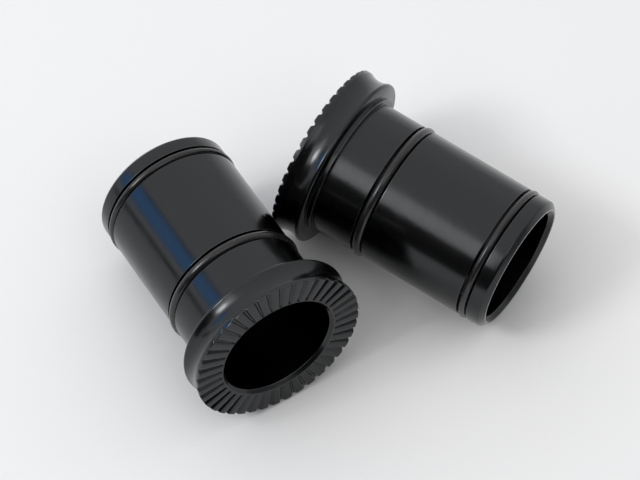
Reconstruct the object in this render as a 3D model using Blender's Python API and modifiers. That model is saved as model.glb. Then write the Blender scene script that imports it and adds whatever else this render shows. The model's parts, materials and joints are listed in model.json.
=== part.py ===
"""A pair of flanged converter sleeves for a bottom bracket, lying side by side on a bench.

Each sleeve is turned from one bar: a bore for a thin crank spindle, a body that fills a wider
bearing, a flange with a toothed outer face, and two grooves that each hold a rubber O-ring.
Every length is in metres. Along a sleeve, lengths start at the tips of the teeth.
"""

import math

import bmesh
import bpy
from mathutils import Matrix, Vector

# Tube of the sleeve
BORE_DIAMETER = 0.0241
WALL = 0.00245
SLEEVE_LENGTH = 0.0479

# Flange, whose heights stand above the body
RIM_HEIGHT = 0.00395
RIM_WIDTH = 0.00105
RIM_TAPER = 0.00005
RIM_EDGE_CHAMFER = 0.0003
LIP_FRONT_HEIGHT = 0.0038
LIP_BACK_HEIGHT = 0.0036
LIP_CROWN = 0.0002
LIP_WIDTH = 0.0009
WAIST_HOLLOW = 0.00055
FLANGE_WIDTH = 0.0063

# Neck behind the flange, whose end face is the seat for the bearing's inner race
NECK_HEIGHT = 0.0011
NECK_WIDTH = 0.0010

# Teeth on the outer face of the flange, left by radial grooves that shrink towards the bore
TOOTH_COUNT = 41
TOOTH_GROOVE_DEPTH = 0.00045
TOOTH_GROOVE_WIDTH = 0.0011
TOOTH_GROOVE_INNER_SHARE = 0.8
PLAIN_RING_WIDTH = 0.0003

# Edges at the two mouths of the bore
MOUTH_CHAMFER = 0.0007
END_COUNTERSINK = 0.0009
END_FLAT_WIDTH = 0.00035
END_CHAMFER_LENGTH = 0.0010

# O-rings: thickness, height above the body, and place of the middle plane
FLANGE_O_RING_THICKNESS = 0.0020
FLANGE_O_RING_PROUD = 0.0004
FLANGE_O_RING_FROM_SEAT = 0.01045
END_O_RING_THICKNESS = 0.0016
END_O_RING_PROUD = 0.00025
END_O_RING_FROM_TIP = 0.00495
O_RING_SIDE_GAP = 0.00035
O_RING_FLOOR_GAP = 0.0001

# How the two sleeves lie: turned either way from the X axis, one flange beside the other body,
# and each rolled a little about its own bore
SPREAD_ANGLE = math.radians(13.06)
ROLL_ANGLE = math.radians(-1.6)
FLANGE_BESIDE_BODY_AT = 0.0277
SLEEVE_GAP = 0.0001

# Fineness of the round shapes, with two facets for each tooth
FACETS = 2 * TOOTH_COUNT
O_RING_FACETS = 8
WAIST_STEPS = 5
LIP_STEPS = 4
MERGE_DISTANCE = 0.000001
CUTTER_LIFT = 0.0001
CUTTER_OVERRUN = 0.0005
SMOOTH_ANGLE = math.radians(30)

BORE_RADIUS = BORE_DIAMETER / 2
BODY_RADIUS = BORE_RADIUS + WALL
RIM_RADIUS = BODY_RADIUS + RIM_HEIGHT
SEAT_PLACE = FLANGE_WIDTH + NECK_WIDTH
FLANGE_O_RING_PLACE = SEAT_PLACE + FLANGE_O_RING_FROM_SEAT
END_O_RING_PLACE = SLEEVE_LENGTH - END_O_RING_FROM_TIP


def clear_scene():
    """Remove every object that the scene starts with."""
    for thing in list(bpy.data.objects):
        bpy.data.objects.remove(thing, do_unlink=True)


def new_collection(name):
    """Make a collection in the scene and return it."""
    group = bpy.data.collections.new(name)
    bpy.context.scene.collection.children.link(group)
    return group


def new_material(name, colour, roughness, metallic):
    """Make a material of one colour and return it."""
    material = bpy.data.materials.new(name)
    material.use_nodes = True
    shader = material.node_tree.nodes["Principled BSDF"]
    shader.inputs["Base Color"].default_value = (*colour, 1.0)
    shader.inputs["Roughness"].default_value = roughness
    shader.inputs["Metallic"].default_value = metallic
    return material


def arc(start, end, rise, steps):
    """Return points from start to end along an arc that bulges by rise, without the start."""
    first = Vector(start)
    chord = Vector(end) - first
    side = Vector((-chord.y, chord.x)).normalized()
    radius = (chord.length ** 2 / 4 + rise ** 2) / (2 * abs(rise))
    half_angle = math.asin(chord.length / 2 / radius)
    points = []
    for step in range(1, steps + 1):
        angle = half_angle * (2 * step / steps - 1)
        along = chord.length / 2 + radius * math.sin(angle)
        out = math.copysign(radius * math.cos(angle) - radius + abs(rise), rise)
        points.append(tuple(first + chord.normalized() * along + side * out))
    return points


def flange_outline():
    """Return (place, radius) points of the flange from its toothed face to the bearing seat."""
    crease = (RIM_WIDTH, RIM_RADIUS - RIM_TAPER)
    lip_front = (FLANGE_WIDTH - LIP_WIDTH, BODY_RADIUS + LIP_FRONT_HEIGHT)
    lip_back = (FLANGE_WIDTH, BODY_RADIUS + LIP_BACK_HEIGHT)
    neck_radius = BODY_RADIUS + NECK_HEIGHT
    points = [(0.0, RIM_RADIUS - RIM_EDGE_CHAMFER), (RIM_EDGE_CHAMFER, RIM_RADIUS), crease]
    points += arc(crease, lip_front, -WAIST_HOLLOW, WAIST_STEPS)
    points += arc(lip_front, lip_back, LIP_CROWN, LIP_STEPS)
    points += [(FLANGE_WIDTH, neck_radius), (SEAT_PLACE, neck_radius), (SEAT_PLACE, BODY_RADIUS)]
    return points


def groove_outline(place, thickness, proud):
    """Return the four (place, radius) corners of an O-ring's groove."""
    half_width = thickness / 2 + O_RING_SIDE_GAP
    floor = BODY_RADIUS + proud - thickness - O_RING_FLOOR_GAP
    start, end = place - half_width, place + half_width
    return [(start, BODY_RADIUS), (start, floor), (end, floor), (end, BODY_RADIUS)]


def outer_outline():
    """Return (place, radius) points along the outside, from the toothed face to the far end."""
    end_radius = BORE_RADIUS + END_COUNTERSINK + END_FLAT_WIDTH
    points = flange_outline()
    points += groove_outline(FLANGE_O_RING_PLACE, FLANGE_O_RING_THICKNESS, FLANGE_O_RING_PROUD)
    points += groove_outline(END_O_RING_PLACE, END_O_RING_THICKNESS, END_O_RING_PROUD)
    points += [(SLEEVE_LENGTH - END_CHAMFER_LENGTH, BODY_RADIUS), (SLEEVE_LENGTH, end_radius)]
    return points


def bore_outline():
    """Return (place, radius) points along the bore, from the toothed face to the far end."""
    return [
        (0.0, BORE_RADIUS + MOUTH_CHAMFER),
        (MOUTH_CHAMFER, BORE_RADIUS),
        (SLEEVE_LENGTH - END_COUNTERSINK, BORE_RADIUS),
        (SLEEVE_LENGTH, BORE_RADIUS + END_COUNTERSINK),
    ]


def resting_line():
    """Return the tilt of a lying sleeve and the height of its toothed face's middle.

    The sleeve rests on the lip of its flange and on the first point of the body or of an O-ring
    that the bench then meets.
    """
    outline = outer_outline()
    crests = [
        (FLANGE_O_RING_PLACE, BODY_RADIUS + FLANGE_O_RING_PROUD),
        (END_O_RING_PLACE, BODY_RADIUS + END_O_RING_PROUD),
    ]
    beyond = [point for point in outline + crests if point[0] > SEAT_PLACE]
    tilt = max(
        min(math.atan2(top - radius, place - start) for place, radius in beyond)
        for start, top in flange_outline()
    )
    height = max(radius * math.cos(tilt) + place * math.sin(tilt) for place, radius in outline)
    return tilt, height


def lying_places():
    """Return, for each side, the middle of the toothed face and the turns that lay the sleeve down."""
    tilt, height = resting_line()
    left_turn = math.pi - SPREAD_ANGLE
    right_turn = SPREAD_ANGLE
    left_axis = Vector((math.cos(left_turn), math.sin(left_turn), 0))
    right_axis = Vector((math.cos(right_turn), math.sin(right_turn), 0))
    up = Vector((0, 0, 1))
    left_face = Vector((0, 0, height))
    near_rim = left_face + left_axis * FLANGE_BESIDE_BODY_AT
    near_rim += left_axis.cross(up) * (BODY_RADIUS + SLEEVE_GAP)
    right_face = near_rim + up.cross(right_axis) * RIM_RADIUS
    lay_down = math.pi / 2 + tilt
    return {
        "left": (left_face, (0, lay_down, left_turn)),
        "right": (right_face, (0, lay_down, right_turn)),
    }


def new_empty(name, place, turns, parent, group):
    """Make an empty, such as one that carries a sleeve with its Z axis along the bore."""
    empty = bpy.data.objects.new(name, None)
    empty.empty_display_size = BODY_RADIUS
    empty.location = place
    empty.rotation_euler = turns
    empty.parent = parent
    group.objects.link(empty)
    return empty


def shade(mesh):
    """Shade a round mesh smooth, with its turned corners left sharp."""
    mesh.shade_smooth()
    mesh.set_sharp_from_angle(angle=SMOOTH_ANGLE)


def tooth_cutter(name, carrier, group):
    """Make the ring of narrowing four-sided cutters that leave the radial teeth."""
    run_out = BORE_RADIUS + MOUTH_CHAMFER + PLAIN_RING_WIDTH
    full_depth = TOOTH_GROOVE_DEPTH + CUTTER_LIFT
    half_width = TOOTH_GROOVE_WIDTH / 2 * full_depth / TOOTH_GROOVE_DEPTH
    length = RIM_RADIUS + CUTTER_OVERRUN - run_out
    inner = TOOTH_GROOVE_INNER_SHARE
    outer = inner + (1 - inner) * length / (RIM_RADIUS - run_out)
    stretch = Matrix.Diagonal((full_depth, half_width, 1.0, 1.0))
    point_inward = Matrix.Rotation(-math.pi / 2, 4, "Y")
    pitch = 2 * math.pi / TOOTH_COUNT
    model = bmesh.new()
    for tooth in range(TOOTH_COUNT):
        around = Matrix.Rotation((tooth + 0.5) * pitch, 4, "Z")
        middle = Matrix.Translation((run_out + length / 2, 0, -CUTTER_LIFT))
        bmesh.ops.create_cone(
            model,
            cap_ends=True,
            segments=4,
            radius1=outer,
            radius2=inner,
            depth=length,
            matrix=around @ middle @ point_inward @ stretch,
        )
    mesh = bpy.data.meshes.new(name)
    model.to_mesh(mesh)
    model.free()
    cutter = bpy.data.objects.new(name, mesh)
    cutter.parent = carrier
    cutter.rotation_euler = (0, 0, ROLL_ANGLE)
    cutter.hide_render = True
    cutter.display_type = "WIRE"
    group.objects.link(cutter)
    return cutter


def turned_sleeve(name, carrier, cutter, material, group):
    """Turn one sleeve from its outline, cut its teeth and return it."""
    loop = list(reversed(outer_outline())) + bore_outline()
    mesh = bpy.data.meshes.new(name)
    corners = [(radius, 0.0, place) for place, radius in loop]
    edges = [(index, (index + 1) % len(loop)) for index in range(len(loop))]
    mesh.from_pydata(corners, edges, [])
    sleeve = bpy.data.objects.new(name, mesh)
    sleeve.parent = carrier
    sleeve.rotation_euler = (0, 0, ROLL_ANGLE)
    group.objects.link(sleeve)

    screw = sleeve.modifiers.new("turning", "SCREW")
    screw.axis = "Z"
    screw.steps = FACETS
    screw.render_steps = FACETS
    screw.use_merge_vertices = True
    screw.merge_threshold = MERGE_DISTANCE
    teeth = sleeve.modifiers.new("teeth", "BOOLEAN")
    teeth.operation = "DIFFERENCE"
    teeth.solver = "EXACT"
    teeth.object = cutter
    weld = sleeve.modifiers.new("weld", "WELD")
    weld.merge_threshold = MERGE_DISTANCE

    bpy.context.view_layer.update()
    graph = bpy.context.evaluated_depsgraph_get()
    turned = bpy.data.meshes.new_from_object(sleeve.evaluated_get(graph))
    turned.name = name
    sleeve.modifiers.clear()
    sleeve.data = turned
    bpy.data.meshes.remove(mesh)
    turned.materials.clear()
    turned.materials.append(material)
    shade(turned)
    return sleeve


def o_ring(name, place, thickness, proud, carrier, material, group):
    """Make one O-ring round the sleeve's axis, with its origin on that axis."""
    bpy.ops.mesh.primitive_torus_add(
        major_segments=FACETS,
        minor_segments=O_RING_FACETS,
        major_radius=BODY_RADIUS + proud - thickness / 2,
        minor_radius=thickness / 2,
    )
    ring = bpy.context.object
    for owner in list(ring.users_collection):
        owner.objects.unlink(ring)
    group.objects.link(ring)
    ring.name = name
    ring.data.name = name
    ring.parent = carrier
    ring.location = (0, 0, place)
    ring.data.materials.append(material)
    shade(ring.data)
    return ring


def centre_on_origin(bench, parts):
    """Move the pair so that it stands on the bench with the middle of its box over the origin."""
    bpy.context.view_layer.update()
    points = [part.matrix_world @ vertex.co for part in parts for vertex in part.data.vertices]
    for axis in range(2):
        values = [point[axis] for point in points]
        bench.location[axis] = -(min(values) + max(values)) / 2
    bench.location.z = -min(point.z for point in points)
    bpy.context.view_layer.update()


def main():
    """Build both sleeves and their O-rings."""
    clear_scene()
    parts_group = new_collection("bottom_bracket_sleeve_pair")
    cutters_group = new_collection("cutters")
    anodised = new_material("black_anodised_aluminium", (0.018, 0.018, 0.020), 0.28, 0.6)
    rubber = new_material("black_nitrile_rubber", (0.010, 0.010, 0.011), 0.45, 0.0)
    bench = new_empty("bench", (0, 0, 0), (0, 0, 0), None, parts_group)
    parts = []
    for side, (place, turns) in lying_places().items():
        carrier = new_empty(side + "_axis", place, turns, bench, parts_group)
        cutter = tooth_cutter(side + "_tooth_cutter", carrier, cutters_group)
        parts.append(turned_sleeve(side + "_sleeve", carrier, cutter, anodised, parts_group))
        parts.append(o_ring(
            side + "_flange_o_ring", FLANGE_O_RING_PLACE, FLANGE_O_RING_THICKNESS,
            FLANGE_O_RING_PROUD, carrier, rubber, parts_group))
        parts.append(o_ring(
            side + "_end_o_ring", END_O_RING_PLACE, END_O_RING_THICKNESS,
            END_O_RING_PROUD, carrier, rubber, parts_group))
    centre_on_origin(bench, parts)


main()
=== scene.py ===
"""Looks of a pair of flanged converter sleeves for a bottom bracket.

Each sleeve is one piece of turned, black-anodised aluminium that carries two rubber O-rings. The fine
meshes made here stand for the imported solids: the same outlines with rounded edges, tooth grooves with
a rounded bottom, and round O-rings. Sizes of the sleeves are in millimetres, and places along a sleeve
start at the tips of its teeth. Everything else is in metres.
"""

import json
import logging
import math
from dataclasses import dataclass
from enum import Enum

import bmesh
import bpy
import numpy as np
from mathutils import Matrix, Vector


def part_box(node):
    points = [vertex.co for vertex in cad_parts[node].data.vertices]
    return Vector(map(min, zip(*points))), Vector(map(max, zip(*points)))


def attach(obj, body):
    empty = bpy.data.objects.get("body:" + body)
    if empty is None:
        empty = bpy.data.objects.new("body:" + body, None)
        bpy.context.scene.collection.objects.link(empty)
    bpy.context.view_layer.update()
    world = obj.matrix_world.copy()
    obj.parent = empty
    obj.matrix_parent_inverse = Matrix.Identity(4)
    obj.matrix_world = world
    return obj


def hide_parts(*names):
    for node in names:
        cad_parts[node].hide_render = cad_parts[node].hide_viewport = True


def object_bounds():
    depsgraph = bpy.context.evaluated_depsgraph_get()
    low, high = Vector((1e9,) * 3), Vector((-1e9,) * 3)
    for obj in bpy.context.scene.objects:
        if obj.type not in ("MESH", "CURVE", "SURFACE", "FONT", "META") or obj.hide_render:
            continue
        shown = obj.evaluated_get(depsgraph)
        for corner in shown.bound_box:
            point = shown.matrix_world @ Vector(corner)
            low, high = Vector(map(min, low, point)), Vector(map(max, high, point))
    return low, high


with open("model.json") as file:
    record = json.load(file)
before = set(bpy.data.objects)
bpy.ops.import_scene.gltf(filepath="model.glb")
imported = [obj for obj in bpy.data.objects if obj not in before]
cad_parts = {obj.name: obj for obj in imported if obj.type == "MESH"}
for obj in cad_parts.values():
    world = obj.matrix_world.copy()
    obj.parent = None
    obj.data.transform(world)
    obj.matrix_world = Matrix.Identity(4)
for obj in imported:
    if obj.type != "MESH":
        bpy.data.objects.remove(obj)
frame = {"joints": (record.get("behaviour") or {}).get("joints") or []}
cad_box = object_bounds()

log = logging.getLogger("sleeve_pair")

MM = 0.001
PHOTO_WIDTH_PX = 640
SENSOR_WIDTH_MM = 36.0
# Lengths in millimetres that differ by less than this are the same.
TOUCHING = 1e-4
# How far the wear of an edge reaches past its rounding, and how wide a flat between two worn edges may be
# to be worn right across, in millimetres.
WEAR_REACH = 0.08
WORN_FLAT = 0.5
# Faces that meet at a sharper angle than this keep a sharp edge between them.
SHARP_ANGLE_DEG = 38.0
# Mesh attributes that the finishes read: a point's place in its own piece, and how worn its edge is.
OWN_PLACE = "own_place"
WORN_EDGE = "worn_edge"


class Side(Enum):
    """The two sleeves of the pair, as the photograph shows them."""

    LEFT = "left"
    RIGHT = "right"


class Seal(Enum):
    """The two O-rings of a sleeve."""

    FLANGE = "flange"
    END = "end"


def linear(hex_colour: str) -> tuple[float, float, float, float]:
    """Turn an sRGB hex colour into the linear colour that a shader takes.

    Args:
        hex_colour: Colour such as "#3c3c3e".

    Returns:
        Red, green, blue and an alpha of 1.
    """
    channels = [int(hex_colour[start:start + 2], 16) / 255 for start in (1, 3, 5)]
    red, green, blue = [
        value / 12.92 if value <= 0.04045 else ((value + 0.055) / 1.055) ** 2.4 for value in channels
    ]
    return red, green, blue, 1.0


def add_node(
    tree: bpy.types.NodeTree,
    kind: str,
    inputs: dict[str | int, object] | None = None,
    **settings: object,
) -> bpy.types.Node:
    """Add a node, set its properties, and set or link its inputs.

    Args:
        tree: Node tree that gets the node.
        kind: Blender's name of the node type.
        inputs: Value or output socket for each input, by name or number.
        **settings: Properties of the node by name.

    Returns:
        The new node.
    """
    node = tree.nodes.new(kind)
    for name, value in settings.items():
        setattr(node, name, value)
    for key, value in (inputs or {}).items():
        if isinstance(value, bpy.types.NodeSocket):
            tree.links.new(value, node.inputs[key])
        else:
            node.inputs[key].default_value = value
    return node


def set_ramp(ramp: bpy.types.ColorRamp, stops: list[tuple[float, str]]) -> None:
    """Give a colour ramp its stops.

    Args:
        ramp: Ramp of a Color Ramp node.
        stops: Place from 0 to 1 and sRGB hex colour of each stop, in order.
    """
    while len(ramp.elements) < len(stops):
        ramp.elements.new(1.0)
    for element, (place, colour) in zip(ramp.elements, stops):
        element.position = place
        element.color = linear(colour)


def new_material(name: str) -> tuple[bpy.types.Material, bpy.types.NodeTree, bpy.types.Node]:
    """Make a node material.

    Args:
        name: Name of the real material.

    Returns:
        The material, its node tree and its Principled shader.
    """
    material = bpy.data.materials.new(name)
    material.use_nodes = True
    tree = material.node_tree
    return material, tree, tree.nodes["Principled BSDF"]


@dataclass(frozen=True)
class BlackAnodisedAluminium:
    """Turned aluminium with a black-dyed, sealed oxide skin.

    The dye swallows nearly all the light that enters, so there is no colour of its own to see. What the
    eye gets is the skin's soft mirror image of the room, weak head-on and strong at a glancing angle.
    """

    colour: str = "#3b3c3d"
    worn_colour: str = "#bababc"
    roughness: float = 0.19
    smudge_roughness: float = 0.25
    # A finishing cut leaves lines about 0.08 mm apart; they are drawn at 0.6 mm so that they can show.
    turning_pitch_mm: float = 0.6
    turning_depth_mm: float = 0.0003
    # The skin follows slow waves of the polished bar, which bend the mirror image a little. The depth is
    # that of the whole noise, of which about a fifth is used.
    wave_length_mm: float = 5.0
    wave_depth_mm: float = 0.05
    smudge_size_mm: float = 9.0
    # Part of the noise over which the gloss goes from clean to smudged.
    smudge_band: tuple[float, float] = (0.42, 0.72)
    wear_grain_mm: float = 0.5

    def build(self) -> bpy.types.Material:
        """Make the material, whose patterns follow the sleeve's own axis.

        Returns:
            The material.
        """
        material, tree, shader = new_material("black_anodised_aluminium")
        place = add_node(tree, "ShaderNodeAttribute", attribute_name=OWN_PLACE).outputs["Vector"]

        smudges = add_node(
            tree, "ShaderNodeTexNoise",
            {"Vector": place, "Scale": 1 / (self.smudge_size_mm * MM), "Detail": 5.0, "Roughness": 0.6},
        )
        clean, smudged = self.smudge_band
        gloss = add_node(
            tree, "ShaderNodeMapRange",
            {"Value": smudges.outputs["Fac"], "From Min": clean, "From Max": smudged,
             "To Min": self.roughness, "To Max": self.smudge_roughness},
        )
        tree.links.new(gloss.outputs["Result"], shader.inputs["Roughness"])

        worn = add_node(tree, "ShaderNodeAttribute", attribute_name=WORN_EDGE)
        grain = add_node(
            tree, "ShaderNodeTexNoise",
            {"Vector": place, "Scale": 1 / (self.wear_grain_mm * MM), "Detail": 3.0},
        )
        patchy = add_node(
            tree, "ShaderNodeMath", {0: worn.outputs["Fac"], 1: grain.outputs["Fac"]}, operation="MULTIPLY"
        )
        colour = add_node(
            tree, "ShaderNodeMix",
            {"Factor": patchy.outputs["Value"], "A": linear(self.colour), "B": linear(self.worn_colour)},
            data_type="RGBA",
        )
        tree.links.new(colour.outputs["Result"], shader.inputs["Base Color"])

        along = add_node(tree, "ShaderNodeSeparateXYZ", {"Vector": place}).outputs["Z"]
        turns = 2 * math.pi / (self.turning_pitch_mm * MM)
        phase = add_node(tree, "ShaderNodeMath", {0: along, 1: turns}, operation="MULTIPLY")
        lines = add_node(tree, "ShaderNodeMath", {0: phase.outputs["Value"]}, operation="SINE")
        waves = add_node(
            tree, "ShaderNodeTexNoise",
            {"Vector": place, "Scale": 1 / (self.wave_length_mm * MM), "Detail": 2.0},
        )
        waved = add_node(
            tree, "ShaderNodeBump",
            {"Height": waves.outputs["Fac"], "Strength": 1.0, "Distance": self.wave_depth_mm * MM},
        )
        turned = add_node(
            tree, "ShaderNodeBump",
            {"Height": lines.outputs["Value"], "Strength": 1.0, "Distance": self.turning_depth_mm * MM,
             "Normal": waved.outputs["Normal"]},
        )
        tree.links.new(turned.outputs["Normal"], shader.inputs["Normal"])
        shader.inputs["Metallic"].default_value = 1.0
        return material


@dataclass(frozen=True)
class NitrileRubber:
    """Moulded black nitrile rubber with a trace of assembly oil.

    It is a shade softer in gloss than the metal beside it, with a fine mottled grain from the mould.
    """

    colour: str = "#131314"
    bloom_colour: str = "#1d1d1e"
    roughness: float = 0.2
    dry_roughness: float = 0.34
    ior: float = 1.52
    mottle_mm: float = 1.6
    # Part of the mottle over which the gloss goes from oiled to dry.
    dry_band: tuple[float, float] = (0.4, 0.7)
    grain_mm: float = 0.18
    grain_depth_mm: float = 0.0012

    def build(self) -> bpy.types.Material:
        """Make the material, oiled and dry in patches.

        Returns:
            The material.
        """
        material, tree, shader = new_material("black_nitrile_rubber")
        place = add_node(tree, "ShaderNodeAttribute", attribute_name=OWN_PLACE).outputs["Vector"]
        mottle = add_node(
            tree, "ShaderNodeTexNoise",
            {"Vector": place, "Scale": 1 / (self.mottle_mm * MM), "Detail": 4.0, "Roughness": 0.65},
        )
        colour = add_node(
            tree, "ShaderNodeMix",
            {"Factor": mottle.outputs["Fac"], "A": linear(self.colour), "B": linear(self.bloom_colour)},
            data_type="RGBA",
        )
        oiled, dry = self.dry_band
        gloss = add_node(
            tree, "ShaderNodeMapRange",
            {"Value": mottle.outputs["Fac"], "From Min": oiled, "From Max": dry,
             "To Min": self.roughness, "To Max": self.dry_roughness},
        )
        grain = add_node(
            tree, "ShaderNodeTexNoise",
            {"Vector": place, "Scale": 1 / (self.grain_mm * MM), "Detail": 2.0},
        )
        bump = add_node(
            tree, "ShaderNodeBump",
            {"Height": grain.outputs["Fac"], "Strength": 1.0, "Distance": self.grain_depth_mm * MM},
        )
        tree.links.new(colour.outputs["Result"], shader.inputs["Base Color"])
        tree.links.new(gloss.outputs["Result"], shader.inputs["Roughness"])
        tree.links.new(bump.outputs["Normal"], shader.inputs["Normal"])
        shader.inputs["IOR"].default_value = self.ior
        return material


@dataclass(frozen=True)
class PlainCloth:
    """Matt cloth or card of the studio, which only sends soft light back."""

    name: str
    colour: str
    roughness: float = 0.95

    def build(self) -> bpy.types.Material:
        """Make the material, which has no gloss.

        Returns:
            The material.
        """
        material, _, shader = new_material(self.name)
        shader.inputs["Base Color"].default_value = linear(self.colour)
        shader.inputs["Roughness"].default_value = self.roughness
        shader.inputs["Specular IOR Level"].default_value = 0.0
        return material


@dataclass(frozen=True)
class Corner:
    """One corner of a turned outline: place along the axis, radius there, and how round it is."""

    place: float
    radius: float
    rounding: float = 0.0
    worn: float = 0.0


def arc(start: Corner, end: Corner, rise: float, steps: int) -> list[Corner]:
    """Points on an arc between two corners.

    Args:
        start: Corner where the arc begins, which isn't repeated.
        end: Corner where the arc ends.
        rise: How far the middle of the arc lies outside the straight line, or inside if negative.
        steps: How many points to make.

    Returns:
        The points after the start, the end included.
    """
    first = Vector((start.place, start.radius))
    chord = Vector((end.place, end.radius)) - first
    side = Vector((-chord.y, chord.x)).normalized()
    radius = (chord.length ** 2 / 4 + rise ** 2) / (2 * abs(rise))
    half_angle = math.asin(chord.length / 2 / radius)
    points = []
    for step in range(1, steps + 1):
        angle = half_angle * (2 * step / steps - 1)
        along = chord.length / 2 + radius * math.sin(angle)
        out = math.copysign(radius * math.cos(angle) - radius + abs(rise), rise)
        spot = first + chord.normalized() * along + side * out
        points.append(Corner(spot.x, spot.y))
    points[-1] = end
    return points


def rounded(loop: list[Corner], steps: int) -> list[Corner]:
    """Round the corners of a closed outline.

    Args:
        loop: Corners in order, each with its own rounding radius.
        steps: How many pieces each rounding has.

    Returns:
        The outline with an arc at each corner that has a rounding radius. A worn arc has a point on either
        side, where the wear ends.
    """
    result = []
    for index, corner in enumerate(loop):
        if corner.rounding <= 0:
            result.append(corner)
            continue
        here = Vector((corner.place, corner.radius))
        before, after = loop[index - 1], loop[(index + 1) % len(loop)]
        to_before = Vector((before.place, before.radius)) - here
        to_after = Vector((after.place, after.radius)) - here
        back, ahead = to_before.normalized(), to_after.normalized()
        half = back.angle(ahead) / 2
        cut = corner.rounding / math.tan(half)
        middle = here + (back + ahead).normalized() * (corner.rounding / math.sin(half))
        first = here + back * cut - middle
        last = here + ahead * cut - middle
        sweep = math.atan2(first.x * last.y - first.y * last.x, first.dot(last))
        spots = [middle + Matrix.Rotation(sweep * step / steps, 2) @ first for step in range(steps + 1)]
        bend = [Corner(spot.x, spot.y, worn=corner.worn) for spot in spots]
        if corner.worn > 0 and to_before.length > WORN_FLAT:
            bend.insert(0, Corner(*(here + back * (cut + WEAR_REACH))))
        if corner.worn > 0 and to_after.length > WORN_FLAT:
            bend.append(Corner(*(here + ahead * (cut + WEAR_REACH))))
        result += bend
    return result


@dataclass
class ToothRing:
    """Radial V grooves across the outer face of the flange, deepest at its rim. Sizes in millimetres."""

    rim_radius: float
    run_out_radius: float
    count: int = 41
    depth: float = 0.74
    width: float = 1.3
    inner_share: float = 0.55
    run_out_length: float = 0.5
    bottom_rounding: float = 0.34
    edge_rounding: float = 0.06
    bottom_steps: int = 4

    def slope(self) -> float:
        """Angle of a groove's flanks to the face."""
        return math.atan(self.depth / (self.width / 2))

    def offsets(self) -> np.ndarray:
        """Places of one tooth's mesh columns, close together where a groove bends.

        Returns:
            The places in order, from 0 to 1 across half a groove and from 1 to 2 on to the middle of a
            land. Negative places lie on the other half.
        """
        half = self.width / 2
        bottom = self.bottom_rounding * math.sin(self.slope()) / half
        edge = self.edge_rounding / half
        side = [bottom * step / self.bottom_steps for step in range(1, self.bottom_steps + 1)]
        side += [(bottom + 1) / 2, 1 - edge, 1 + edge, 1.5]
        return np.array([-value for value in reversed(side)] + [0.0] + side + [2.0])

    def groove(self, offset: np.ndarray) -> np.ndarray:
        """Depth of the full-size groove, which has straight flanks and a round bottom.

        Args:
            offset: Places of the mesh columns.

        Returns:
            The depth at each place, in millimetres.
        """
        half = self.width / 2
        across = np.abs(offset) * half
        lift = self.bottom_rounding * (1 / math.cos(self.slope()) - 1)
        inside = np.clip(self.bottom_rounding ** 2 - across ** 2, 0, None)
        nose = self.depth - lift - self.bottom_rounding + np.sqrt(inside)
        flank = np.clip(self.depth * (1 - across / half), 0, None)
        return np.where(across < self.bottom_rounding * math.sin(self.slope()), nose, flank)

    def columns(self, radius: np.ndarray, evened: np.ndarray) -> tuple[np.ndarray, np.ndarray]:
        """Angles and groove depths of the mesh columns at each row's radius.

        Args:
            radius: Radius of each row of the mesh.
            evened: How evenly each row's columns are spread, from 0, gathered at the grooves, to 1.

        Returns:
            Two arrays with a row for each radius: angles in radians, and depths in millimetres.
        """
        pitch = 2 * math.pi / self.count
        offset = self.offsets()
        outward = np.clip((radius - self.run_out_radius) / (self.rim_radius - self.run_out_radius), 0, 1)
        share = self.inner_share + (1 - self.inner_share) * outward
        rising = np.clip((radius - self.run_out_radius) / self.run_out_length, 0, 1)
        half_angle = share * self.width / 2 / np.clip(radius, self.run_out_radius, self.rim_radius)
        across = np.abs(offset)
        near = np.minimum(across, 1.0)[None] * half_angle[:, None]
        far = np.clip(across - 1.0, 0.0, 1.0)[None] * (pitch / 2 - half_angle)[:, None]
        gathered = np.sign(offset)[None] * (near + far)
        even = (np.arange(1, len(offset) + 1) / len(offset) - 0.5) * pitch
        angle = gathered + (even[None] - gathered) * evened[:, None]
        sunk = share * np.sin(rising * math.pi / 2)
        depth = sunk[:, None] * self.groove(offset)[None]
        middles = (np.arange(self.count) + 0.5) * pitch
        angles = (middles[None, :, None] + angle[:, None, :]).reshape(len(radius), -1)
        depths = np.repeat(depth[:, None, :], self.count, axis=1).reshape(len(radius), -1)
        return angles, depths


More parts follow.
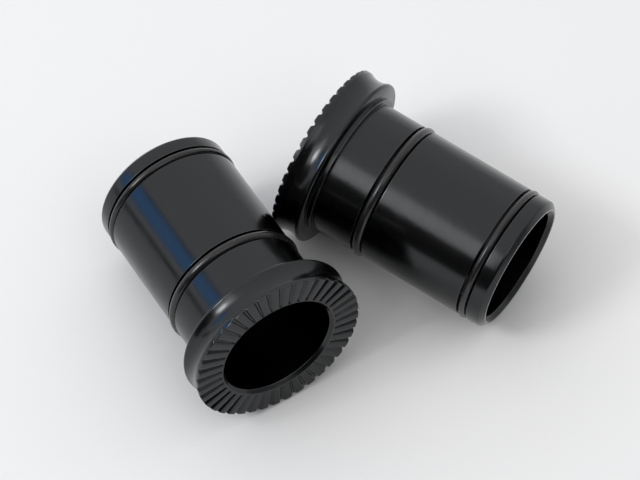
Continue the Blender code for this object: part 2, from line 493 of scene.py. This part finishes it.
@dataclass
class ConverterSleeve:
    """One flanged sleeve with its two O-rings. Sizes in millimetres, heights stand above the body."""

    side: Side
    # How far the sleeve is rolled about its own axis as it lies.
    roll_deg: float = -1.6
    bore_radius: float = 12.05
    wall: float = 2.45
    length: float = 47.9
    rim_height: float = 3.95
    rim_width: float = 1.05
    rim_taper: float = 0.05
    rim_rounding: float = 0.2
    lip_front_height: float = 3.8
    lip_back_height: float = 3.6
    lip_crown: float = 0.2
    lip_width: float = 0.9
    waist_hollow: float = 0.55
    flange_width: float = 6.3
    neck_height: float = 1.1
    neck_width: float = 1.0
    plain_ring_width: float = 0.12
    mouth_chamfer: float = 0.7
    end_countersink: float = 0.9
    end_flat_width: float = 0.35
    end_chamfer_length: float = 1.0
    flange_ring_thickness: float = 2.0
    flange_ring_proud: float = 0.4
    flange_ring_from_seat: float = 10.45
    end_ring_thickness: float = 1.6
    end_ring_proud: float = 0.25
    end_ring_from_tip: float = 4.95
    ring_side_gap: float = 0.35
    ring_floor_gap: float = 0.1
    flash_height: float = 0.02
    flash_width: float = 0.16
    mouth_rounding: float = 0.06
    neck_root_rounding: float = 0.08
    seat_rounding: float = 0.12
    seat_root_rounding: float = 0.04
    groove_rounding: float = 0.07
    shoulder_rounding: float = 0.6
    end_rounding: float = 0.05
    bore_rounding: float = 0.1
    # How far the black skin is rubbed off the edges, from 0 to 1.
    rim_wear: float = 0.1
    edge_wear: float = 0.15
    bore_wear: float = 0.2
    end_wear: float = 1.0
    rounding_steps: int = 3
    waist_steps: int = 18
    lip_steps: int = 12
    run_out_rows: int = 4
    face_rows: int = 8
    rim_rows: int = 3
    ring_columns: int = 360
    ring_rows: int = 48

    @property
    def body_radius(self) -> float:
        """Radius of the plain body that fills the bearing."""
        return self.bore_radius + self.wall

    @property
    def rim_radius(self) -> float:
        """Radius of the flange at the tips of the teeth."""
        return self.body_radius + self.rim_height

    @property
    def seat_place(self) -> float:
        """Place of the flat ring that the bearing rests against."""
        return self.flange_width + self.neck_width

    def ring_place(self, seal: Seal) -> float:
        """Place of an O-ring's middle plane.

        Args:
            seal: Which of the two O-rings.

        Returns:
            The place along the sleeve.
        """
        if seal is Seal.FLANGE:
            return self.seat_place + self.flange_ring_from_seat
        return self.length - self.end_ring_from_tip

    def ring_section(self, seal: Seal) -> tuple[float, float]:
        """Section of an O-ring.

        Args:
            seal: Which of the two O-rings.

        Returns:
            Its thickness, and how far it stands above the body.
        """
        if seal is Seal.FLANGE:
            return self.flange_ring_thickness, self.flange_ring_proud
        return self.end_ring_thickness, self.end_ring_proud

    def lying_matrix(self) -> Matrix:
        """Where the sleeve lies, from the joint of its O-ring in the frame.

        Returns:
            The matrix that lays down a sleeve whose Z axis is its bore and whose X axis points down.
        """
        name = f"{self.side.value}_flange_o_ring_turn"
        joint = next(item for item in frame["joints"] if item["name"] == name)
        axis = Vector(joint["axis"]).normalized()
        middle = Vector(joint["pos_m"]) - axis * self.ring_place(Seal.FLANGE) * MM
        tilt = math.asin(-axis.z)
        turn = math.atan2(axis.y, axis.x)
        return (
            Matrix.Translation(middle)
            @ Matrix.Rotation(turn, 4, "Z")
            @ Matrix.Rotation(math.pi / 2 + tilt, 4, "Y")
        )

    def flange_corners(self) -> list[Corner]:
        """Outline of the flange.

        Returns:
            The corners in order, from the mouth of the bore round to the bearing seat.
        """
        body = self.body_radius
        crease = Corner(self.rim_width, self.rim_radius - self.rim_taper)
        lip_front = Corner(self.flange_width - self.lip_width, body + self.lip_front_height)
        lip_back = Corner(self.flange_width, body + self.lip_back_height)
        neck = body + self.neck_height
        corners = [
            Corner(0.0, self.bore_radius + self.mouth_chamfer, self.mouth_rounding, self.edge_wear),
            Corner(0.0, self.rim_radius, self.rim_rounding, self.rim_wear),
            crease,
        ]
        corners += arc(crease, lip_front, -self.waist_hollow, self.waist_steps)
        corners += arc(lip_front, lip_back, self.lip_crown, self.lip_steps)
        corners += [
            Corner(self.flange_width, neck, self.neck_root_rounding),
            Corner(self.seat_place, neck, self.seat_rounding, self.edge_wear),
            Corner(self.seat_place, body, self.seat_root_rounding),
        ]
        return corners

    def groove_corners(self, seal: Seal) -> list[Corner]:
        """Outline of an O-ring's groove.

        Args:
            seal: Which of the two O-rings.

        Returns:
            The corners in order along the sleeve.
        """
        thickness, proud = self.ring_section(seal)
        half = thickness / 2 + self.ring_side_gap
        floor = self.body_radius + proud - thickness - self.ring_floor_gap
        start, end = self.ring_place(seal) - half, self.ring_place(seal) + half
        return [
            Corner(start, self.body_radius, self.groove_rounding, self.edge_wear),
            Corner(start, floor),
            Corner(end, floor),
            Corner(end, self.body_radius, self.groove_rounding, self.edge_wear),
        ]

    def outline(self) -> list[Corner]:
        """Closed outline of the sleeve with every turned edge rounded.

        Returns:
            The points in order, out over the flange, along the body and back through the bore.
        """
        sink_place = self.length - self.end_countersink
        sink_radius = self.bore_radius + self.end_countersink
        end_radius = sink_radius + self.end_flat_width
        corners = self.flange_corners()
        corners += self.groove_corners(Seal.FLANGE)
        corners += self.groove_corners(Seal.END)
        corners += [
            Corner(self.length - self.end_chamfer_length, self.body_radius, self.shoulder_rounding),
            Corner(self.length, end_radius, self.end_rounding, self.end_wear),
            Corner(self.length, sink_radius, self.end_rounding, self.end_wear),
            Corner(sink_place, self.bore_radius, self.bore_rounding, self.edge_wear),
            Corner(self.mouth_chamfer, self.bore_radius, self.bore_rounding, self.bore_wear),
        ]
        return rounded(corners, self.rounding_steps)

    def face_split(self, corners: list[Corner], teeth: ToothRing) -> list[Corner]:
        """Add the rows that the teeth need across the face and down the rim.

        Args:
            corners: Closed outline of the sleeve.
            teeth: Teeth of this flange.

        Returns:
            The outline with those rows.
        """
        result = []
        for corner, after in zip(corners, corners[1:] + corners[:1]):
            result.append(corner)
            level_face = max(abs(corner.place), abs(after.place)) < TOUCHING
            on_face = level_face and corner.radius < teeth.run_out_radius < after.radius
            on_rim = TOUCHING < corner.place < after.place and math.isclose(after.place, self.rim_width)
            if on_face:
                inner = teeth.run_out_radius
                level = inner + teeth.run_out_length
                rows = np.linspace(inner, level, self.run_out_rows, endpoint=False).tolist()
                rows += np.linspace(level, after.radius, self.face_rows, endpoint=False).tolist()
                result += [Corner(0.0, radius) for radius in rows]
            if on_rim:
                for row in range(1, self.rim_rows + 1):
                    share = row / (self.rim_rows + 1)
                    result.append(Corner(
                        corner.place + (after.place - corner.place) * share,
                        corner.radius + (after.radius - corner.radius) * share,
                    ))
        return result

    def sleeve_mesh(self, name: str) -> bpy.types.Mesh:
        """Turn the outline and sink the teeth into its face.

        Args:
            name: Name of the mesh.

        Returns:
            The closed mesh where the sleeve lies.
        """
        teeth = ToothRing(
            rim_radius=self.rim_radius,
            run_out_radius=self.bore_radius + self.mouth_chamfer + self.plain_ring_width,
        )
        rows = self.face_split(self.outline(), teeth)
        place = np.array([row.place for row in rows])
        radius = np.array([row.radius for row in rows])
        past_rim = (place - self.rim_width) / (self.flange_width - self.lip_width - self.rim_width)
        evened = np.where(radius < teeth.run_out_radius - TOUCHING, 1, np.clip(past_rim, 0, 1))
        angles, depths = teeth.columns(radius, evened)
        angles = angles + math.radians(self.roll_deg)
        reach = np.clip(1 - place / self.rim_width, 0, 1) * (radius > teeth.run_out_radius)
        lowered = place[:, None] + depths * reach[:, None]
        points = np.stack(
            [radius[:, None] * np.cos(angles), radius[:, None] * np.sin(angles), lowered], axis=-1
        )
        return grid_mesh(name, points * MM, self.lying_matrix(), np.array([row.worn for row in rows]))

    def ring_mesh(self, name: str, seal: Seal) -> bpy.types.Mesh:
        """Make one O-ring in its groove, with the fine flash line that its mould leaves.

        Args:
            name: Name of the mesh.
            seal: Which of the two O-rings.

        Returns:
            The closed mesh where the O-ring lies.
        """
        thickness, proud = self.ring_section(seal)
        section = np.arange(self.ring_rows) / self.ring_rows * 2 * math.pi
        section_radius = np.full(self.ring_rows, thickness / 2)
        from_flash = np.abs((section + math.pi) % (2 * math.pi) - math.pi) * thickness / 2
        section_radius += self.flash_height * np.exp(-(from_flash / (self.flash_width / 2)) ** 2)
        radius = self.body_radius + proud - thickness / 2 + section_radius * np.cos(section)
        place = self.ring_place(seal) + section_radius * np.sin(section)
        turn = np.arange(self.ring_columns) / self.ring_columns * 2 * math.pi
        points = np.stack(
            [
                radius[:, None] * np.cos(turn)[None],
                radius[:, None] * np.sin(turn)[None],
                np.repeat(place[:, None], self.ring_columns, axis=1),
            ],
            axis=-1,
        )
        return grid_mesh(name, points * MM, self.lying_matrix(), np.zeros(self.ring_rows))

    def dress(
        self, mesh: bpy.types.Mesh, finish: bpy.types.Material, node: str
    ) -> bpy.types.Object:
        """Give a mesh its finish and let it stand for its solid.

        Args:
            mesh: Mesh of the piece.
            finish: Material of the piece.
            node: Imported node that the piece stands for, which is also its body.

        Returns:
            The piece.
        """
        piece = bpy.data.objects.new(mesh.name, mesh)
        bpy.context.scene.collection.objects.link(piece)
        mesh.materials.append(finish)
        smooth = piece.modifiers.new("even_shading", "WEIGHTED_NORMAL")
        smooth.keep_sharp = True
        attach(piece, node)
        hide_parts(node)
        low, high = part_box(node)
        log.info("%s stands for %s, %d faces, solid %s mm", piece.name, node, len(mesh.polygons),
                 [round(value / MM, 1) for value in high - low])
        return piece

    def build(self, metal: bpy.types.Material, rubber: bpy.types.Material) -> list[bpy.types.Object]:
        """Make the sleeve and its two O-rings.

        Args:
            metal: Finish of the sleeve.
            rubber: Finish of the O-rings.

        Returns:
            The three pieces.
        """
        side = self.side.value
        mesh = self.sleeve_mesh(f"{side}_turned_sleeve")
        pieces = [self.dress(mesh, metal, f"{side}_sleeve")]
        for seal in Seal:
            mesh = self.ring_mesh(f"{side}_{seal.value}_seal_ring", seal)
            pieces.append(self.dress(mesh, rubber, f"{side}_{seal.value}_o_ring"))
        return pieces


def grid_mesh(name: str, points: np.ndarray, lying: Matrix, worn: np.ndarray) -> bpy.types.Mesh:
    """Make a closed mesh from rows of points that go round twice: about the axis and round the section.

    Args:
        name: Name of the mesh.
        points: Array of rows, columns and coordinates, with the bore along Z.
        lying: Where the sleeve lies.
        worn: How worn each row is, from 0 to 1.

    Returns:
        The mesh with its faces pointing out, smooth apart from its sharp corners.
    """
    rows, columns = points.shape[:2]
    number = np.arange(rows * columns).reshape(rows, columns)
    below = np.roll(number, -1, axis=0)
    quads = np.stack(
        [number, np.roll(number, -1, axis=1), np.roll(below, -1, axis=1), below], axis=-1
    ).reshape(-1, 4)
    own = points.reshape(-1, 3)
    turn = np.array(lying.to_3x3())
    mesh = bpy.data.meshes.new(name)
    mesh.from_pydata((own @ turn.T + np.array(lying.translation)).tolist(), [], quads.tolist())
    model = bmesh.new()
    model.from_mesh(mesh)
    bmesh.ops.recalc_face_normals(model, faces=model.faces)
    model.to_mesh(mesh)
    model.free()
    own_place = mesh.attributes.new(OWN_PLACE, "FLOAT_VECTOR", "POINT")
    own_place.data.foreach_set("vector", own.astype(np.float32).ravel())
    edge = mesh.attributes.new(WORN_EDGE, "FLOAT", "POINT")
    edge.data.foreach_set("value", np.repeat(worn, columns).astype(np.float32))
    mesh.shade_smooth()
    mesh.set_sharp_from_angle(angle=math.radians(SHARP_ANGLE_DEG))
    return mesh


@dataclass(frozen=True)
class PhotoCamera:
    """The camera that took the photograph, worked out from the outlines of both sleeves."""

    aim_mm: tuple[float, float, float] = (-6.974, 8.072, 0.0)
    distance_mm: float = 853.79
    elevation_deg: float = 58.82
    heading_deg: float = 48.624
    roll_deg: float = 2.943
    focal_px: float = 4128.95
    clip_start: float = 0.01

    def right(self) -> Vector:
        """Level direction to the right of the picture."""
        heading = math.radians(self.heading_deg)
        return Vector((math.cos(heading), math.sin(heading), 0))

    def away(self) -> Vector:
        """Level direction away from the camera."""
        return Vector((0, 0, 1)).cross(self.right())

    def level_direction(self, bearing_deg: float) -> Vector:
        """Level direction by its bearing: 0 is straight away from the camera, 90 to its right."""
        bearing = math.radians(bearing_deg)
        return self.away() * math.cos(bearing) + self.right() * math.sin(bearing)

    def build(self) -> bpy.types.Object:
        """Make the camera and set it as the scene's.

        Returns:
            The camera.
        """
        elevation = math.radians(self.elevation_deg)
        roll = math.radians(self.roll_deg)
        right = self.right()
        back = -self.away() * math.cos(elevation) + Vector((0, 0, 1)) * math.sin(elevation)
        up = back.cross(right)
        across = right * math.cos(roll) - up * math.sin(roll)
        upward = right * math.sin(roll) + up * math.cos(roll)
        turn = Matrix((across, upward, back)).transposed().to_4x4()
        lens = bpy.data.cameras.new("photo_camera")
        lens.sensor_width = SENSOR_WIDTH_MM
        lens.lens = self.focal_px * SENSOR_WIDTH_MM / PHOTO_WIDTH_PX
        lens.clip_start = self.clip_start
        camera = bpy.data.objects.new("photo_camera", lens)
        bpy.context.scene.collection.objects.link(camera)
        place = Vector(self.aim_mm) * MM + back * self.distance_mm * MM
        camera.matrix_world = Matrix.Translation(place) @ turn
        bpy.context.scene.camera = camera
        return camera


@dataclass(frozen=True)
class Softbox:
    """A soft panel of light, placed by its bearing from the camera's view and its height angle."""

    name: str
    bearing_deg: float
    height_deg: float
    distance: float
    width: float
    height: float
    radiance: float
    colour: str = "#ffffff"

    def build(self, camera: PhotoCamera) -> bpy.types.Object:
        """Make the panel, facing the sleeves.

        Args:
            camera: Camera that bearings are taken from.

        Returns:
            The lamp.
        """
        height = math.radians(self.height_deg)
        towards = camera.level_direction(self.bearing_deg) * math.cos(height)
        towards += Vector((0, 0, 1)) * math.sin(height)
        lamp = bpy.data.lights.new(self.name, "AREA")
        lamp.shape = "RECTANGLE"
        lamp.size = self.width
        lamp.size_y = self.height
        lamp.energy = self.radiance * math.pi * self.width * self.height
        lamp.color = linear(self.colour)[:3]
        panel = bpy.data.objects.new(self.name, lamp)
        bpy.context.scene.collection.objects.link(panel)
        panel.location = towards * self.distance
        panel.rotation_mode = "QUATERNION"
        panel.rotation_quaternion = towards.to_track_quat("Z", "Y")
        return panel


@dataclass(frozen=True)
class Screen:
    """A curved cloth screen round the sleeves, placed by its bearing and its height angles."""

    name: str
    colour: str
    bearing_deg: float
    half_angle_deg: float
    foot_deg: float
    top_deg: float
    distance: float = 1.7
    panels: int = 24

    def corners(self, camera: PhotoCamera) -> list[Vector]:
        """Lower and upper corner of each upright edge.

        Args:
            camera: Camera that bearings are taken from.

        Returns:
            The corners in order along the screen.
        """
        foot = self.distance * math.tan(math.radians(self.foot_deg))
        top = self.distance * math.tan(math.radians(self.top_deg))
        result = []
        for panel in range(self.panels + 1):
            bearing_deg = self.bearing_deg + self.half_angle_deg * (2 * panel / self.panels - 1)
            level = camera.level_direction(bearing_deg) * self.distance
            result += [level + Vector((0, 0, foot)), level + Vector((0, 0, top))]
        return result

    def faces(self) -> list[tuple[int, ...]]:
        """Faces between neighbouring upright edges."""
        return [(at, at + 2, at + 3, at + 1) for at in range(0, 2 * self.panels, 2)]


# Colours of the tent's walls, by the sine of the height angle.
TENT_WALLS = [
    (0.0, "#d6d6d8"),
    (0.16, "#e4e4e6"),
    (0.38, "#f3f3f4"),
    (0.62, "#f6f6f7"),
    (0.8, "#f3f3f3"),
    (1.0, "#fbfbfb"),
]
# The screens and the lamps stand where the sleeves' mirror images in the photograph put them.
SCREENS = (
    Screen("dark_curtain", "#565656", bearing_deg=-165.5, half_angle_deg=50.5, foot_deg=0.0, top_deg=39.0),
    Screen("curtain_edge", "#565656", bearing_deg=-110.5, half_angle_deg=4.5, foot_deg=14.0, top_deg=35.0),
    Screen("camera_screen", "#565656", bearing_deg=-171.0, half_angle_deg=23.0, foot_deg=39.0, top_deg=58.0),
    Screen("grey_screen", "#b4b4b4", bearing_deg=116.0, half_angle_deg=28.0, foot_deg=0.0, top_deg=36.0),
    Screen("bench_edge", "#3c3c3c", bearing_deg=-88.0, half_angle_deg=9.0, foot_deg=0.5, top_deg=5.5),
    Screen("window_blind", "#8c8c8c", bearing_deg=-77.0, half_angle_deg=9.0, foot_deg=15.5, top_deg=37.0),
)
SOFTBOXES = (
    Softbox("key_core", bearing_deg=-108.0, height_deg=47.5, distance=1.15,
            width=0.3, height=0.26, radiance=11.5),
    Softbox("key_diffuser", bearing_deg=-114.0, height_deg=54.0, distance=1.3,
            width=1.0, height=0.6, radiance=1.4),
    Softbox("back_fill", bearing_deg=146.0, height_deg=58.0, distance=1.1,
            width=0.47, height=0.47, radiance=0.9),
    Softbox("left_card", bearing_deg=-76.0, height_deg=11.5, distance=1.4,
            width=0.7, height=0.14, radiance=0.4),
    Softbox("cool_window", bearing_deg=-77.0, height_deg=25.0, distance=1.4,
            width=0.4, height=0.42, radiance=1.9, colour="#59aeff"),
)


@dataclass
class Studio:
    """A white table in a pale tent, with dark cloth on the side of the camera."""

    camera: PhotoCamera
    floor_colour: str = "#f0f0f0"
    floor_half_width: float = 5.0
    floor_drop: float = 0.00003
    bright_bearing_deg: float = -20.0
    bright_share: float = 0.23
    tent_strength: float = 0.915

    def stage_mesh(
        self, name: str, corners: list[Vector], faces: list[tuple[int, ...]], finish: PlainCloth
    ) -> bpy.types.Object:
        """Make a piece of the studio, which isn't part of the object.

        Args:
            name: Name of the piece.
            corners: Points of its mesh.
            faces: Faces of its mesh.
            finish: What it is made of.

        Returns:
            The piece.
        """
        mesh = bpy.data.meshes.new(name)
        mesh.from_pydata(corners, [], faces)
        mesh.materials.append(finish.build())
        piece = bpy.data.objects.new(name, mesh)
        bpy.context.scene.collection.objects.link(piece)
        return piece

    def build_floor(self) -> bpy.types.Object:
        """Lay the pale floor just under the sleeves.

        Returns:
            The floor.
        """
        half, height = self.floor_half_width, cad_box[0].z - self.floor_drop
        corners = [Vector((x * half, y * half, height)) for x, y in ((-1, -1), (1, -1), (1, 1), (-1, 1))]
        finish = PlainCloth("white_card", self.floor_colour)
        return self.stage_mesh("floor", corners, [(0, 1, 2, 3)], finish)

    def build_screen(self, screen: Screen) -> bpy.types.Object:
        """Put up a screen that is seen only as a reflection.

        Args:
            screen: Which screen.

        Returns:
            The screen.
        """
        finish = PlainCloth(screen.name + "_cloth", screen.colour)
        piece = self.stage_mesh(screen.name, screen.corners(self.camera), screen.faces(), finish)
        piece.visible_camera = False
        return piece

    def build_tent(self) -> bpy.types.World:
        """Make the pale tent: dimmer where its walls meet the table, and brighter on its far side.

        Returns:
            The world.
        """
        world = bpy.data.worlds.new("pale_tent")
        world.use_nodes = True
        tree = world.node_tree
        direction = add_node(tree, "ShaderNodeTexCoord").outputs["Generated"]
        axes = add_node(tree, "ShaderNodeSeparateXYZ", {"Vector": direction})
        walls = add_node(tree, "ShaderNodeValToRGB", {"Fac": axes.outputs["Z"]})
        set_ramp(walls.color_ramp, TENT_WALLS)
        bright_side = self.camera.level_direction(self.bright_bearing_deg)
        towards = add_node(
            tree, "ShaderNodeVectorMath", {0: direction, 1: bright_side}, operation="DOT_PRODUCT"
        )
        strength = add_node(
            tree, "ShaderNodeMath",
            {0: towards.outputs["Value"], 1: self.bright_share, 2: self.tent_strength},
            operation="MULTIPLY_ADD",
        )
        background = tree.nodes["Background"]
        tree.links.new(walls.outputs["Color"], background.inputs["Color"])
        tree.links.new(strength.outputs["Value"], background.inputs["Strength"])
        bpy.context.scene.world = world
        return world

    def build(self) -> None:
        """Set up the floor, the tent, the screens and the lamps."""
        self.build_floor()
        self.build_tent()
        for screen in SCREENS:
            self.build_screen(screen)
            log.info("%s at bearing %.0f", screen.name, screen.bearing_deg)
        for panel in SOFTBOXES:
            panel.build(self.camera)
            log.info("%s at bearing %.0f, height %.0f", panel.name, panel.bearing_deg, panel.height_deg)


def main() -> None:
    """Build the camera, the studio and both sleeves."""
    logging.basicConfig(level=logging.INFO, format="%(name)s: %(message)s")
    scene = bpy.context.scene
    scene.view_settings.view_transform = "Standard"
    camera = PhotoCamera()
    camera.build()
    Studio(camera).build()
    metal = BlackAnodisedAluminium().build()
    rubber = NitrileRubber().build()
    for side in Side:
        ConverterSleeve(side).build(metal, rubber)


if __name__ == "__main__":
    main()
